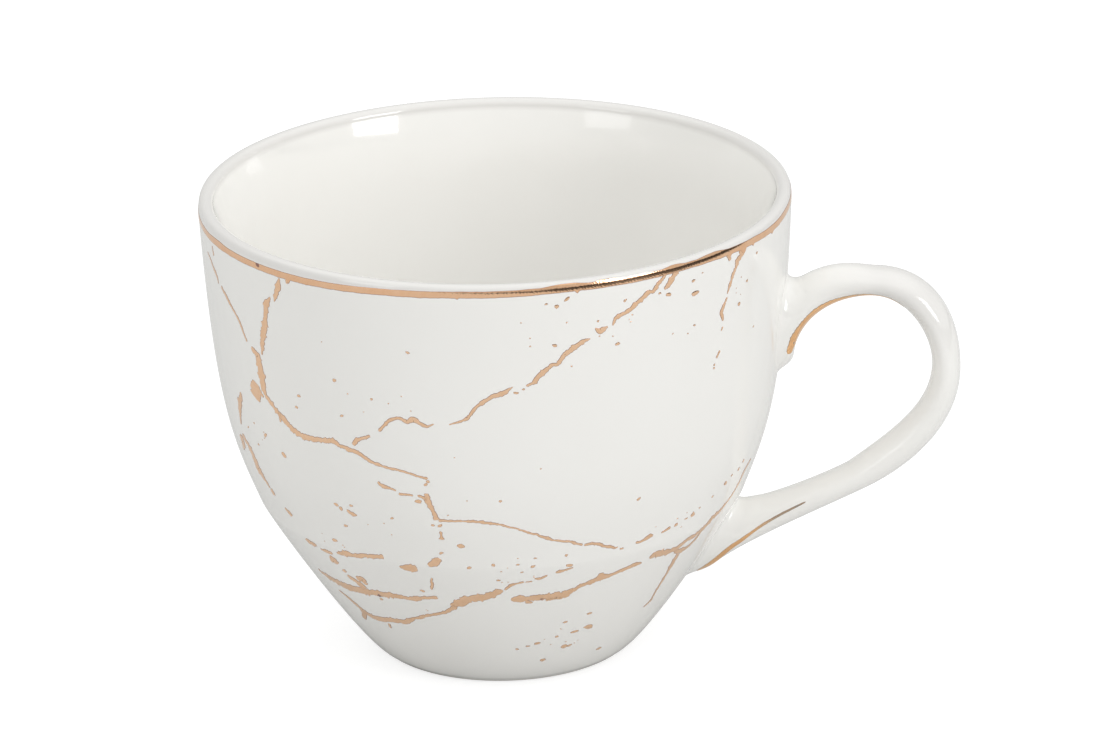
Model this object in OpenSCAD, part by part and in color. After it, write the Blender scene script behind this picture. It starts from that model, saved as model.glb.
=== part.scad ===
// Teacup: a glazed white porcelain bowl with an ear-shaped handle, a gold
// band under the lip and gold marble veins on the outside.
// Millimetres. +Z is up, the origin is the centre of the foot ring on the
// table, and the handle points along +X.

/* [Bowl] */
// Outside diameter across the rim
rim_d = 88; // [82:0.5:94]
// Height from the table to the top of the lip
cup_h = 71.5; // [67:0.5:76]
// Outside diameter of the foot, where the wall starts
foot_d = 39.4; // [38:0.2:41]
// Thickness of the wall at the lip
lip_t = 2.2; // [1.8:0.1:2.6]
// Depth of the hollow under the foot
foot_recess = 2; // [1.2:0.1:2.4]

/* [Handle] */
// Reach of the handle from the cup's axis
handle_reach = 69.1; // [67:0.1:73]
// Width of the handle's arm, across the plane of the loop
handle_w = 7.5; // [6.5:0.1:8.5]
// Extra half width where each end spreads over the wall
root_spread = 1.2; // [0.8:0.1:1.6]
// Reach of the slip fillets over the wall
slip_reach = 1.6; // [1.2:0.1:2]

/* [Gilding] */
// Distance from the top of the lip down to the gold band
band_drop = 1.1; // [0.9:0.1:1.6]
// Height of the gold band
band_h = 1.1; // [0.8:0.1:1.4]
// Thickness of the fired gold, made heavier than the real film
gold_t = 0.1; // [0.08:0.01:0.14]
// Turn of the second transfer from the first, about the cup's axis
transfer_turn = 180; // [175:1:185]

/* [Hidden] */

PORCELAIN = "#f4f3ef";
SLIP = "#eeece6";
GOLD = "#cf9a72";

// The outlines are drawn for a cup 88 mm wide and 71.5 mm high, and stretched from there.
function sr(r) = r * rim_d / 88;
function sz(z) = z * cup_h / 71.5;
rim_r = rim_d / 2;
lip_r = lip_t / 2;
// A layer on the wall stands off it by this much, so that its flat facets clear the round wall.
skin_gap = 0.03;

// ---- curves ----
function bezier(p, t) = pow(1 - t, 3) * p[0] + 3 * pow(1 - t, 2) * t * p[1]
                        + 3 * (1 - t) * t * t * p[2] + pow(t, 3) * p[3];
// Points of a chain of Bezier curves; each curve starts where the one before ends.
function curve(c, n, first = 0) = [for (i = [first:n]) bezier(c, i / n)];
function chain(list, n) = [for (k = [0:len(list) - 1]) each curve(list[k], n, k == 0 ? 0 : 1)];

// ---- outside of the wall, from the foot to the lip ----
shoulder = [sr(36.75), sz(25.4)];
lip_foot = [rim_r, cup_h - 2.5];
outside = chain([
    [[foot_d / 2, 0.6], [foot_d / 2 + 3.3, 2.6], [sr(35.85), sz(23.1)], shoulder],
    [shoulder, [sr(40.15), sz(34.2)], [sr(42.6), sz(38.9)], lip_foot]], 14);
wall_table = [for (p = outside) [p.y, p.x]];
function wall_r(z) = lookup(z, wall_table);
// Outward normal of the wall in the [radius, height] plane.
function wall_normal(z) = let (d = (wall_r(z + 0.4) - wall_r(z - 0.4)) / 0.8) [1, -d] / norm([1, d]);
// A point on the wall at an azimuth and height, lifted off it by h.
function on_wall(az, z, h) =
    let (n = wall_normal(z), r = wall_r(z) + h * n[0])
    [r * cos(az), r * sin(az), z + h * n[1]];
// A point on the wall straight behind [y, z], on the handle's side.
function wall_behind(y, z, h) = [sqrt(pow(wall_r(z) + h, 2) - y * y), y, z];

module bowl() {
    floor_z = 4.8;
    neck = [sr(40.2), sz(61)];
    belly = [sr(34), sz(26.3)];
    inside = chain([
        [[rim_r - lip_t, cup_h - lip_r], [sr(41.2), sz(68.4)], [sr(40.35), sz(65.5)], neck],
        [neck, [sr(39.9), sz(46)], [sr(38), sz(36.5)], belly],
        [belly, [sr(30.2), sz(16.8)], [24, 6], [12, floor_z + 0.1]]], 12);
    // The lip turns in gently above the band, then sharply over the top.
    lip_out = curve([[rim_r, cup_h - 1.9], [rim_r, cup_h - 0.5], [rim_r - 0.15, cup_h],
                     [rim_r - lip_r, cup_h]], 10);
    lip_in = [for (a = [105:15:165])
        [rim_r - lip_r + lip_r * cos(a), cup_h - lip_r + lip_r * sin(a)]];
    foot = [[0, foot_recess], [14.6, foot_recess], [15.8, 0.8], [16.8, 0], [foot_d / 2 - 1, 0]];
    color(PORCELAIN)
        rotate_extrude($fn = 180)
            polygon(concat(foot, outside, lip_out, lip_in, inside, [[0, floor_z]]));
}

// ---- closed tubes through rings of points ----
module tube(rings, cap_a, cap_b) {
    n = len(rings[0]);
    last = len(rings) * n;
    sides = [for (i = [0:len(rings) - 2], j = [0:n - 1])
        let (a = i * n + j, b = i * n + (j + 1) % n)
        each [[a, b, b + n], [a, b + n, a + n]]];
    ends = [for (j = [0:n - 1])
        each [[last, (j + 1) % n, j], [last + 1, last - n + j, last - n + (j + 1) % n]]];
    polyhedron(concat([for (r = rings) each r], [cap_a, cap_b]), concat(sides, ends));
}
// A ring of sections closed on itself, such as a fillet round a root.
module closed_tube(rings) {
    n = len(rings[0]);
    m = len(rings);
    polyhedron([for (r = rings) each r],
        [for (i = [0:m - 1], j = [0:n - 1])
            let (k = (j + 1) % n, next = (i + 1) % m,
                 a = i * n + j, b = i * n + k, c = next * n + j, d = next * n + k)
            each [[a, b, d], [a, d, c]]]);
}

// ---- handle ----
// Outline of the loop in its own plane, as [reach, height]: outer edge, then finger side.
function hx(r) = r > 44 ? rim_r + (r - 44) * (handle_reach - rim_r) / 25.1 : sr(r);
function hp(list) = [for (c = list) [for (p = c) [hx(p.x), sz(p.y)]]];
outer_edge = hp([
    [[44.6, 57.6], [50.2, 61.7], [54.7, 60], [56.6, 60]],
    [[56.6, 60], [64.4, 60], [69.1, 53.9], [69.1, 44.6]],
    [[69.1, 44.6], [69.1, 35.3], [61.3, 28.7], [55.4, 25.6]],
    [[55.4, 25.6], [46.5, 20.9], [31.4, 14.1], [29.6, 10]]]);
finger_edge = hp([
    [[44.2, 45.1], [44.4, 52.5], [51, 56], [56.1, 56]],
    [[56.1, 56], [61.4, 56], [64.9, 49.7], [64.9, 45.5]],
    [[64.9, 45.5], [64.9, 38.8], [59.4, 34.4], [52.3, 28.9]],
    [[52.3, 28.9], [51.2, 28], [41.9, 23.5], [37, 22.7]]]);
STEPS = 10;
SIDES = 20;
outer_pts = chain(outer_edge, STEPS);
finger_pts = chain(finger_edge, STEPS);
LAST = len(outer_pts) - 1;
// Half width across the loop, spreading towards both ends.
function half_w(i) = handle_w / 2 + root_spread * (exp(-i / 2.5) + exp(-(LAST - i) / 3));
// A point on the arm's oval section i at angle a: 0 is the outer edge, 180 the finger side.
// grow adds to the section's half sizes.
function arm(i, a, grow = 0) =
    let (o = outer_pts[i], f = finger_pts[i], c = (o + f) / 2, d = (o - f) / 2,
         e = d * (1 + grow / norm(d)))
    [c.x + cos(a) * e.x, -(half_w(i) + grow) * sin(a), c.y + cos(a) * e.y];
function arm_ring(i) = [for (j = [0:SIDES - 1]) arm(i, j * 360 / SIDES)];
// The same ring pressed straight back on to the wall.
function root_ring(i, grow = 0) = [for (j = [0:SIDES - 1])
    let (p = arm(i, j * 360 / SIDES, grow)) wall_behind(p.y, p.z, skin_gap)];
function ring_centre(i) =
    let (c = (outer_pts[i] + finger_pts[i]) / 2) wall_behind(0, c.y, skin_gap);

module handle() {
    // A half size ring inside each root keeps the end face close to the round wall.
    function half_ring(i) = [for (p = arm_ring(i))
        let (c = ring_centre(i)) wall_behind(p.y / 2, (p.z + c.z) / 2, skin_gap)];
    color(PORCELAIN)
        tube(concat([half_ring(0), root_ring(0)],
                    [for (i = [0:LAST]) arm_ring(i)],
                    [root_ring(LAST), half_ring(LAST)]),
             ring_centre(0), ring_centre(LAST));
}

// Slip squeezed out round a root and smoothed to a hollow fillet.
module slip_joint(i) {
    on_arm = arm_ring(i);
    at_root = root_ring(i);
    on_bowl = root_ring(i, slip_reach);
    color(SLIP)
        closed_tube([for (j = [0:SIDES - 1])
            let (a = on_arm[j], b = at_root[j], c = on_bowl[j], m = (a + c) * 0.3 + b * 0.4)
            i == 0 ? [b, c, m, a] : [a, m, c, b]]);
}
module upper_slip_joint() {
    slip_joint(0);
}
module lower_slip_joint() {
    slip_joint(LAST);
}

// ---- gold on the wall ----
module rim_gold_band() {
    top = cup_h - band_drop;
    color(GOLD)
        rotate_extrude($fn = 180)
            polygon([[rim_r, top - band_h], [rim_r + gold_t, top - band_h + 0.05],
                     [rim_r + gold_t, top - 0.05], [rim_r, top]]);
}

// A vein is [width, [azimuth, height], ...]: a thin ribbon with ragged edges that lies on the wall.
module vein(v) {
    n = len(v) - 2;
    function at(k) = [v[k + 1].x, sz(v[k + 1].y)];
    // Direction along the vein, as [round the wall, up the wall], in millimetres.
    function heading(k) =
        let (a = at(max(k - 1, 0)), b = at(min(k + 1, n)), r = wall_r(at(k).y),
             d = [(b.x - a.x) * r * PI / 180, (b.y - a.y)])
        d / norm(d);
    function ragged(k) = (k == 0 || k == n) ? 0.35 : 1 + 0.25 * sin(137 * k + 40 * n);
    function edge(k, side, h) =
        let (p = at(k), t = heading(k), s = side * v[0] / 2 * ragged(k))
        on_wall(p.x - s * t.y / wall_r(p.y) * 180 / PI, p.y + s * t.x * wall_normal(p.y).x, h);
    tube([for (k = [0:n])
            [edge(k, -1, skin_gap), edge(k, 1, skin_gap), edge(k, 1, gold_t), edge(k, -1, gold_t)]],
         (edge(0, -1, skin_gap) + edge(0, 1, gold_t)) / 2,
         (edge(n, -1, skin_gap) + edge(n, 1, gold_t)) / 2);
}
module veins(list) {
    color(GOLD)
        for (v = list) vein(v);
}

// Veins of one transfer, by where they lie on the cup.
LEFT = [
    [0.5, [-157, 66], [-153, 65], [-150.5, 63], [-145.5, 61], [-143, 59.5], [-141, 57.5], [-140.5, 56]],
    [0.7, [-127.5, 69], [-129.5, 66.5], [-130, 65]],
    [0.7, [-131.5, 65.5], [-132.5, 63.5], [-133.5, 60], [-135.5, 57.5], [-135.5, 55]],
    [0.9, [-139, 56], [-137, 55], [-136.5, 53], [-137, 51], [-138.5, 48.5], [-139.5, 47]],
    [1.8, [-144.5, 47.5], [-146, 45.5], [-148, 44], [-150, 42], [-152.5, 40.5]],
    [0.7, [-153, 38.5], [-150.5, 36.5], [-146.5, 35.5], [-145, 33], [-142.5, 30.5], [-139, 29],
        [-138, 27.5]]];
FRONT = [
    [0.8, [-135.5, 49], [-134, 47.5], [-131.5, 46], [-127.5, 45], [-124.5, 44.5], [-121, 44.5],
        [-117.5, 45], [-115, 44.5], [-111.5, 44], [-109, 43], [-106, 42.5], [-101, 41], [-97.5, 41]],
    [0.6, [-113, 45.5], [-111.5, 46.5], [-109, 47]],
    [0.8, [-107, 48], [-105.5, 49.5], [-103, 50.5], [-99, 50.5], [-95.5, 50]],
    [0.9, [-92.5, 50], [-89, 51.5], [-87, 53], [-83.5, 54.5], [-79.5, 56]],
    [0.6, [-108.5, 39.5], [-104.5, 38.5], [-101, 38]],
    [0.7, [-97.5, 39.5], [-98, 37.5], [-97, 35.5], [-96, 34.5]],
    [0.6, [-94.5, 34], [-89.5, 34], [-86, 34], [-82.5, 33.5], [-79, 32.5], [-76.5, 31.5], [-72, 30.5],
        [-67, 29], [-64.5, 28.5], [-59, 27.5], [-56, 27]],
    [0.5, [-96.5, 32.5], [-96, 31], [-96.5, 29.5], [-96.5, 28]],
    [1.6, [-97.5, 27], [-98.5, 26], [-99.5, 25]],
    [0.5, [-99.5, 23.5], [-100.5, 21.5], [-104.5, 20]]];
LOWER = [
    [0.7, [-136, 25], [-132, 24.5], [-128.5, 24]],
    [0.7, [-125.5, 24], [-121, 25], [-116.5, 25], [-111, 25.5]],
    [0.7, [-129, 22.5], [-126.5, 20.5], [-123, 19.5], [-120, 19]],
    [0.8, [-144.5, 17], [-137, 17], [-128.5, 17], [-121, 17.5], [-115, 17.5], [-109.5, 17.5],
        [-104.5, 18.5], [-100, 19]],
    [0.8, [-137.5, 15], [-133.5, 14], [-130, 12], [-127, 11], [-121.5, 11.5], [-113.5, 12.5],
        [-107, 14], [-99, 15.5]],
    [1.5, [-97.5, 17], [-94.5, 18.5], [-90, 19.5], [-85, 20.5]],
    [0.6, [-84, 21], [-78, 22.5]],
    [0.6, [-76, 22.5], [-72.5, 23], [-66.5, 24.5]],
    [1.3, [-81.5, 19.5], [-78, 19.5], [-76, 18.5], [-70.5, 18.5], [-65.5, 19], [-59.5, 21], [-56, 21.5],
        [-50, 22], [-47.5, 22.5]]];
RIM = [
    [1.1, [-77.5, 56], [-74.5, 57], [-72.5, 59], [-70, 60.5], [-68, 61.5], [-65, 62.5]],
    [1.2, [-64, 64], [-62.5, 63.5], [-60.5, 64.5], [-57, 66], [-55, 67], [-52.5, 67.5], [-50, 68.8]],
    [1.0, [-28.5, 69], [-31, 68], [-33, 64.5]],
    [0.5, [-33, 63.5], [-34, 61.5], [-33.5, 60], [-34.5, 58.5]],
    [0.5, [-34.5, 56], [-35.5, 54]]];
RIGHT = [
    [1.0, [-45.5, 23.5], [-42.5, 23.5], [-38, 23.2], [-34.5, 23.5], [-30, 24.5], [-26.5, 25.7], [-23.5, 26.5],
        [-20, 27.5], [-16.5, 29.5], [-13, 31.5]],
    [0.5, [-34, 21.8], [-30, 22.5], [-28.5, 23.5]],
    [0.6, [-35.5, 21.5], [-35, 19], [-35, 15.5], [-35, 12.5], [-36, 11.5]],
    [0.5, [-55.5, 26.5], [-51.5, 26.5]],
    [0.6, [-50, 27], [-47.5, 27.5], [-43.5, 27.5]],
    [0.5, [-41.5, 28], [-38.5, 29]],
    [0.4, [-29.5, 30.5], [-27.5, 31.2]],
    [0.4, [-25.5, 32], [-20.5, 33.5], [-19.5, 35]]];

module left_gold_veins() {
    veins(LEFT);
}
module front_gold_veins() {
    veins(FRONT);
}
module lower_gold_veins() {
    veins(LOWER);
}
module rim_gold_veins() {
    veins(RIM);
}
module right_gold_veins() {
    veins(RIGHT);
}
// The veins run off the first transfer on both sides, so the second is the same print, turned.
module back_gold_veins() {
    rotate([0, 0, transfer_turn])
        veins(concat(FRONT, LOWER, RIM, [for (i = [1:len(LEFT) - 1]) LEFT[i]]));
}

// A speck is [diameter, azimuth, height]: a small flat five-cornered grain of gold.
module speck(s) {
    z = sz(s[2]);
    function rim(h) = [for (a = [0:72:288])
        let (r = s[0] / 2 * (1 + 0.2 * sin(3 * a + 50 * s[1])))
        on_wall(s[1] + r * cos(a) / wall_r(z) * 180 / PI, z + r * sin(a) * wall_normal(z).x, h)];
    tube([rim(skin_gap), rim(gold_t)], on_wall(s[1], z, skin_gap), on_wall(s[1], z, gold_t));
}
SPECKS = [
    [0.6, -76, 66.5], [0.5, -73.5, 66], [0.6, -70, 66.5], [1, -62, 66], [0.6, -44, 66.5], [0.7, -42, 65],
    [0.7, -27, 67], [0.6, -31.5, 62], [0.5, -44.5, 60], [0.6, -60.5, 61.5], [0.7, -72.5, 61],
    [0.6, -118.5, 53.5], [0.5, -117, 54], [0.6, -128.5, 51.5], [0.7, -110.5, 52], [0.6, -118, 48.5],
    [0.5, -102, 59], [0.6, -101.5, 52.5], [0.6, -98.5, 51.5], [0.8, -133.5, 40.5], [0.5, -138.5, 43.5],
    [0.6, -142, 41.5], [0.7, -119.5, 34], [0.6, -117, 33], [0.6, -113.5, 33], [0.5, -122, 31],
    [0.5, -119, 30], [0.6, -106, 33], [0.6, -103, 33], [1.6, -105, 24.5], [1.1, -92, 29.5],
    [0.6, -86, 29.5], [0.5, -83, 28], [0.6, -79, 26.5], [0.5, -76, 25.5], [1.3, -66, 24],
    [1, -64, 10.8], [1.3, -57, 10.5], [0.6, -62, 10], [0.7, -67, 9.2], [0.8, -72.5, 8.5],
    [0.5, -75, 7.8], [1, -65, 7.5], [0.6, -54.5, 7], [0.8, -58, 13.5], [0.6, -64.5, 12.5],
    [0.5, -70.5, 6.2], [0.6, -37, 36], [0.5, -41, 46]];

module specks(list) {
    color(GOLD)
        for (s = list) speck(s);
}
module gold_specks() {
    specks(SPECKS);
}
module back_gold_specks() {
    rotate([0, 0, transfer_turn])
        specks(SPECKS);
}

// ---- gold lines on the handle ----
// A line along both sides of the arm. Each row of low and high is [section, angle from the outer edge],
// for the line's two edges.
module gold_line(i0, i1, low, high) {
    function line_ring(i) =
        let (a = lookup(i, low), b = lookup(i, high))
        [arm(i, a, skin_gap), arm(i, b, skin_gap), arm(i, b, gold_t), arm(i, a, gold_t)];
    rings = [for (i = [i0:i1]) line_ring(i)];
    back = rings[len(rings) - 1];
    color(GOLD)
        for (m = [0, 1])
            mirror([0, m, 0])
                tube(rings, (rings[0][0] + rings[0][2]) / 2, (back[0] + back[2]) / 2);
}
module upper_handle_gilding() {
    gold_line(1, 13, [[1, 109], [2, 103], [4, 105], [6, 112], [8, 122], [10, 133], [13, 148]],
        [[1, 142], [2, 154], [4, 158], [9, 156], [13, 154]]);
}
module lower_handle_gilding() {
    gold_line(34, LAST - 1, [[34, 98], [36, 91], [37, 80], [38, 69], [39, 60]],
        [[34, 103], [36, 101], [37, 92], [38, 82], [39, 76]]);
}

bowl();
handle();
upper_slip_joint();
lower_slip_joint();
rim_gold_band();
left_gold_veins();
front_gold_veins();
lower_gold_veins();
rim_gold_veins();
right_gold_veins();
gold_specks();
back_gold_veins();
back_gold_specks();
upper_handle_gilding();
lower_handle_gilding();
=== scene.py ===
"""A glazed white porcelain teacup: gold band under the lip, gold marble veins, ear-shaped handle.

Lengths are in millimetres until a mesh is made, and azimuths are in degrees round +Z from +X, where the
handle points.
"""

import math
import random

import bpy
import numpy as np
from mathutils import Matrix, Vector, noise


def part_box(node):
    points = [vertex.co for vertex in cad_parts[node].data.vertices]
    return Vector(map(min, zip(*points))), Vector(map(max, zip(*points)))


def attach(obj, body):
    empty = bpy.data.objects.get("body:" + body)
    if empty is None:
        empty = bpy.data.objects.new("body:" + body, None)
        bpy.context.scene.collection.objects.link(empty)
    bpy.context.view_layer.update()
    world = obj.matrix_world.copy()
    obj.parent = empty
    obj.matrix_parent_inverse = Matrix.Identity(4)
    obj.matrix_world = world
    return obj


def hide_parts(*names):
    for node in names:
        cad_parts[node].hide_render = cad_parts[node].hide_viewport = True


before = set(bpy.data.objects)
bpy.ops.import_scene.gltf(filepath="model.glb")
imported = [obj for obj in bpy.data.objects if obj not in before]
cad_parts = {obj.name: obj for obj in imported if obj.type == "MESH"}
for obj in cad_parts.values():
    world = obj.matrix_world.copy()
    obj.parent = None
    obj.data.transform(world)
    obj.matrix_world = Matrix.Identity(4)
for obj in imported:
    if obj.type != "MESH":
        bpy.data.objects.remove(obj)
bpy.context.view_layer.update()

MM = 0.001
CUP_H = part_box("bowl")[1].z / MM
RIM_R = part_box("bowl")[1].x / MM


# ---- curves ----
def bezier(p, steps):
    """Points of one cubic curve, steps + 1 of them."""
    t = np.linspace(0, 1, steps + 1)[:, None]
    p = np.array(p, float)
    return (1 - t) ** 3 * p[0] + 3 * (1 - t) ** 2 * t * p[1] + 3 * (1 - t) * t * t * p[2] + t ** 3 * p[3]


def chain(curves, steps):
    """Points of a chain of curves, where each curve starts at the end of the one before."""
    parts = [bezier(curves[0], steps)] + [bezier(c, steps)[1:] for c in curves[1:]]
    return np.concatenate(parts)


def arc(centre, radius, start, end, steps):
    """Points of an arc, with angles in degrees."""
    a = np.radians(np.linspace(start, end, steps + 1))
    return np.stack([centre[0] + radius * np.cos(a), centre[1] + radius * np.sin(a)], 1)


def lengths(points):
    """Distance along a line of points, from its first."""
    return np.concatenate([[0], np.cumsum(np.linalg.norm(np.diff(points, axis=0), axis=1))])


# ---- the wall's outline, as radius and height ----
# The control points of WALL are a least squares fit to the cup's outline in the photograph, rounded.
LIP_R = 1.1
FOOT_R = 19.7
SHOULDER = (36.75, 25.4)
LIP_CENTRE = (RIM_R - LIP_R, CUP_H - LIP_R)
WALL = chain([[(FOOT_R, 0.6), (23, 2.6), (35.85, 23.1), SHOULDER],
              [SHOULDER, (40.15, 34.2), (42.6, 38.9), (RIM_R, CUP_H - 2.5)]], 60)
LIP_OUT = bezier([(RIM_R, CUP_H - 1.9), (RIM_R, CUP_H - 0.5), (RIM_R - 0.15, CUP_H),
                  (RIM_R - LIP_R, CUP_H)], 24)
LIP_IN = arc(LIP_CENTRE, LIP_R, 90, 180, 12)
INSIDE = chain([[LIP_IN[-1], (41.2, 68.4), (40.35, 65.5), (40.2, 61)],
                [(40.2, 61), (39.9, 46), (38, 36.5), (34.0, 26.3)],
                [(34.0, 26.3), (30.2, 16.8), (24, 6), (12, 4.9)],
                [(12, 4.9), (8, 4.8), (4, 4.8), (0.2, 4.8)]], 36)
FOOT = np.concatenate([
    bezier([(0.2, 2.0), (6, 2.0), (10, 2.0), (13.9, 2.0)], 10),
    bezier([(13.9, 2.0), (15.1, 2.0), (15.3, 1.4), (15.8, 0.8)], 8)[1:],
    bezier([(15.8, 0.8), (16.2, 0.3), (16.4, 0.0), (16.9, 0.0)], 8)[1:],
    bezier([(16.9, 0.0), (17.4, 0.0), (18.0, 0.0), (18.5, 0.0)], 4)[1:],
    bezier([(18.5, 0.0), (19.1, 0.0), (19.4, 0.35), (FOOT_R, 0.6)], 8)[1:]])

# The outer skin runs from the foot up the wall and over the lip's outer half.
SKIN = np.concatenate([WALL, LIP_OUT])
SKIN_S = lengths(SKIN)
SKIN_T = np.gradient(SKIN, axis=0)
SKIN_T /= np.linalg.norm(SKIN_T, axis=1)[:, None]


def wall_r(z):
    """Radius of the wall at a height."""
    return np.interp(z, WALL[:, 1], WALL[:, 0])


def s_at(z):
    """Distance up the skin at a height on the wall."""
    return np.interp(z, SKIN[:, 1], SKIN_S)


def skin_r(s):
    """Radius at a distance up the skin."""
    return np.interp(s, SKIN_S, SKIN[:, 0])


def on_skin(az, s, lift=0.0):
    """Points at azimuths az and distances s up the skin, lifted off it."""
    az, s = np.broadcast_arrays(np.radians(np.asarray(az, float)), np.asarray(s, float))
    t_r, t_z = (np.interp(s, SKIN_S, SKIN_T[:, k]) for k in (0, 1))
    size = np.hypot(t_r, t_z)
    r = skin_r(s) + lift * t_z / size
    z = np.interp(s, SKIN_S, SKIN[:, 1]) - lift * t_r / size
    return np.stack([r * np.cos(az), r * np.sin(az), z], -1)


# ---- meshes ----
def mesh_object(name, verts, faces, material, edge=None, sharp=None):
    """A smooth shaded object from points in millimetres."""
    mesh = bpy.data.meshes.new(name)
    mesh.from_pydata([tuple(v) for v in np.asarray(verts, float) * MM], [], faces)
    mesh.validate()
    mesh.polygons.foreach_set("use_smooth", [True] * len(mesh.polygons))
    if edge is not None:
        mesh.attributes.new("edge", "FLOAT", "POINT").data.foreach_set("value", np.asarray(edge, np.float32))
    if sharp is not None:
        mesh.set_sharp_from_angle(angle=math.radians(sharp))
    mesh.update()
    obj = bpy.data.objects.new(name, mesh)
    bpy.context.scene.collection.objects.link(obj)
    mesh.materials.append(material)
    return obj


def tube_faces(rings, sides, start=0, closed=False):
    """Faces between rings of points, for a tube whose first point is number start."""
    faces = []
    for i in range(rings if closed else rings - 1):
        a0, b0 = start + i * sides, start + (i + 1) % rings * sides
        for j in range(sides):
            k = (j + 1) % sides
            faces.append((a0 + j, a0 + k, b0 + k, b0 + j))
    return faces


def place(obj, node):
    """Lets a piece stand for its CAD node."""
    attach(obj, "root")
    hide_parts(node)
    return obj


# ---- materials ----
def new_material(name):
    """A new node material, its nodes and links, and its Principled shader."""
    mat = bpy.data.materials.new(name)
    mat.use_nodes = True
    nodes, links = mat.node_tree.nodes, mat.node_tree.links
    return mat, nodes, links, nodes["Principled BSDF"]


def noise_node(nodes, links, coords, scale, detail=3.0, rough=0.5):
    tex = nodes.new("ShaderNodeTexNoise")
    tex.inputs["Scale"].default_value = scale
    tex.inputs["Detail"].default_value = detail
    tex.inputs["Roughness"].default_value = rough
    links.new(coords, tex.inputs["Vector"])
    return tex.outputs["Fac"]


def ramp(nodes, links, value, stops):
    """A colour ramp over value, from stops of (position, colour)."""
    node = nodes.new("ShaderNodeValToRGB")
    first, last = node.color_ramp.elements[0], node.color_ramp.elements[1]
    first.position, first.color = stops[0][0], (*stops[0][1], 1)
    last.position, last.color = stops[-1][0], (*stops[-1][1], 1)
    for position, colour in stops[1:-1]:
        node.color_ramp.elements.new(position).color = (*colour, 1)
    links.new(value, node.inputs["Fac"])
    return node.outputs["Color"]


def scaled(nodes, links, value, low, high):
    """value, 0 to 1, stretched to run from low to high."""
    node = nodes.new("ShaderNodeMapRange")
    node.inputs["To Min"].default_value = low
    node.inputs["To Max"].default_value = high
    links.new(value, node.inputs["Value"])
    return node.outputs["Result"]


def bump(nodes, links, height, distance, normal=None):
    node = nodes.new("ShaderNodeBump")
    node.inputs["Distance"].default_value = distance
    links.new(height, node.inputs["Height"])
    if normal is not None:
        links.new(normal, node.inputs["Normal"])
    return node.outputs["Normal"]


def mixed(nodes, links, factor, a, b):
    """Colour a where factor is 0 and b where it is 1."""
    node = nodes.new("ShaderNodeMix")
    node.data_type = "RGBA"
    links.new(factor, node.inputs["Factor"])
    for value, socket in ((a, node.inputs["A"]), (b, node.inputs["B"])):
        if isinstance(value, tuple):
            socket.default_value = (*value, 1)
        else:
            links.new(value, socket)
    return node.outputs["Result"]


def step_between(nodes, links, value, low, high):
    """0 where value is low, 1 where it is high, and held at 0 or 1 past them."""
    step = nodes.new("ShaderNodeMapRange")
    step.inputs["From Min"].default_value = low
    step.inputs["From Max"].default_value = high
    links.new(value, step.inputs["Value"])
    return step.outputs["Result"]


def product(nodes, links, a, b):
    node = nodes.new("ShaderNodeMath")
    node.operation = "MULTIPLY"
    links.new(a, node.inputs[0])
    links.new(b, node.inputs[1])
    return node.outputs["Value"]


GLAZE_LIGHT = (0.955, 0.946, 0.922)
GLAZE_SHADE = (0.940, 0.929, 0.902)
# Darker tones for the lip and the top of the handle's arch. They stand in for the photograph's weaker light
# from above, and aren't a difference seen in the porcelain.
LIP_PAINTED_SHADE = (0.815, 0.80, 0.78)
LIP_FROM, LIP_TO = (CUP_H - 1.7) * MM, (CUP_H - 0.9) * MM
ARCH_PAINTED_SHADE = (0.83, 0.815, 0.795)
ARCH_HEIGHT_FROM, ARCH_HEIGHT_TO = 0.046, 0.057
ARCH_REACH_FROM, ARCH_REACH_TO = 0.048, 0.058
# The bare clay of the foot ring, below these heights.
BARE_TONE = (0.70, 0.665, 0.60)
BARE_ROUGH = 0.75
BARE_NONE, BARE_FULL = 0.00045, 0.00025


def porcelain(name, bowl=False, arch=False):
    """Warm white porcelain under a clear glaze, which pools and ripples a little.

    The bowl has a painted shade on its lip and a bare foot ring, and the handle a painted shade on the top
    of its arch.
    """
    mat, nodes, links, shader = new_material(name)
    coords = nodes.new("ShaderNodeTexCoord").outputs["Object"]
    cloud = noise_node(nodes, links, coords, 38, 4)
    colour = ramp(nodes, links, cloud, [(0.25, GLAZE_SHADE), (0.75, GLAZE_LIGHT)])
    rough = scaled(nodes, links, noise_node(nodes, links, coords, 160, 5), 0.07, 0.13)
    ripple = bump(nodes, links, noise_node(nodes, links, coords, 95, 2), 0.00006)
    skin = bump(nodes, links, noise_node(nodes, links, coords, 1400, 2), 0.000003, ripple)
    split = nodes.new("ShaderNodeSeparateXYZ")
    links.new(coords, split.inputs["Vector"])
    height = split.outputs["Z"]
    if arch:
        # Painted shade on the top of the handle's arch, where it is both high and far out.
        high = step_between(nodes, links, height, ARCH_HEIGHT_FROM, ARCH_HEIGHT_TO)
        out = step_between(nodes, links, split.outputs["X"], ARCH_REACH_FROM, ARCH_REACH_TO)
        colour = mixed(nodes, links, product(nodes, links, high, out), colour, ARCH_PAINTED_SHADE)
    if bowl:
        # Painted shade on the lip.
        lip = step_between(nodes, links, height, LIP_FROM, LIP_TO)
        colour = mixed(nodes, links, lip, colour, LIP_PAINTED_SHADE)
        bare = step_between(nodes, links, height, BARE_NONE, BARE_FULL)
        colour = mixed(nodes, links, bare, colour, BARE_TONE)
        raw = nodes.new("ShaderNodeMix")
        links.new(bare, raw.inputs["Factor"])
        links.new(rough, raw.inputs["A"])
        raw.inputs["B"].default_value = BARE_ROUGH
        rough = raw.outputs["Result"]
    links.new(colour, shader.inputs["Base Color"])
    links.new(rough, shader.inputs["Roughness"])
    links.new(skin, shader.inputs["Normal"])
    shader.inputs["IOR"].default_value = 1.52
    shader.inputs["Coat Weight"].default_value = 0.5
    shader.inputs["Coat Roughness"].default_value = 0.03
    return mat


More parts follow.
